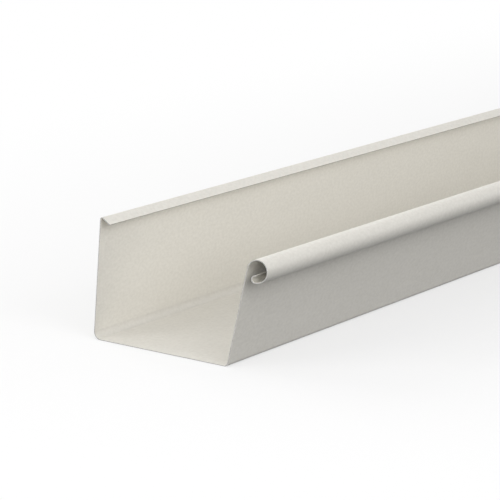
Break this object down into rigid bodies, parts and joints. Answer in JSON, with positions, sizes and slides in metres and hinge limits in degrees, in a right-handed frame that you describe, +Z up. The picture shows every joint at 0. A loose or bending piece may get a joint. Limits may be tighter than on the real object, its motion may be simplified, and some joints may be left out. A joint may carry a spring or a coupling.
{
  "type": "gutter section",
  "caption": "Straight length of box gutter folded from one coated steel sheet, with a round front bead, a hemmed back wall and open cut ends.",
  "frame": {"origin": "bottom centre of the section: on the underside of the floor, halfway along the length and halfway between the back face and the front of the bead", "axes": "+X along the gutter, +Y toward the back wall that goes against the fascia, +Z up out of the channel; the round bead is toward -Y"},
  "size_m": [2, 0.133, 0.086],
  "materials": {
    "coated_steel": "warm off-white coil coating, satin, both faces alike"
  },
  "bodies": {
    "root": {"gutter_section": "coated_steel"}
  },
  "joints": []
}
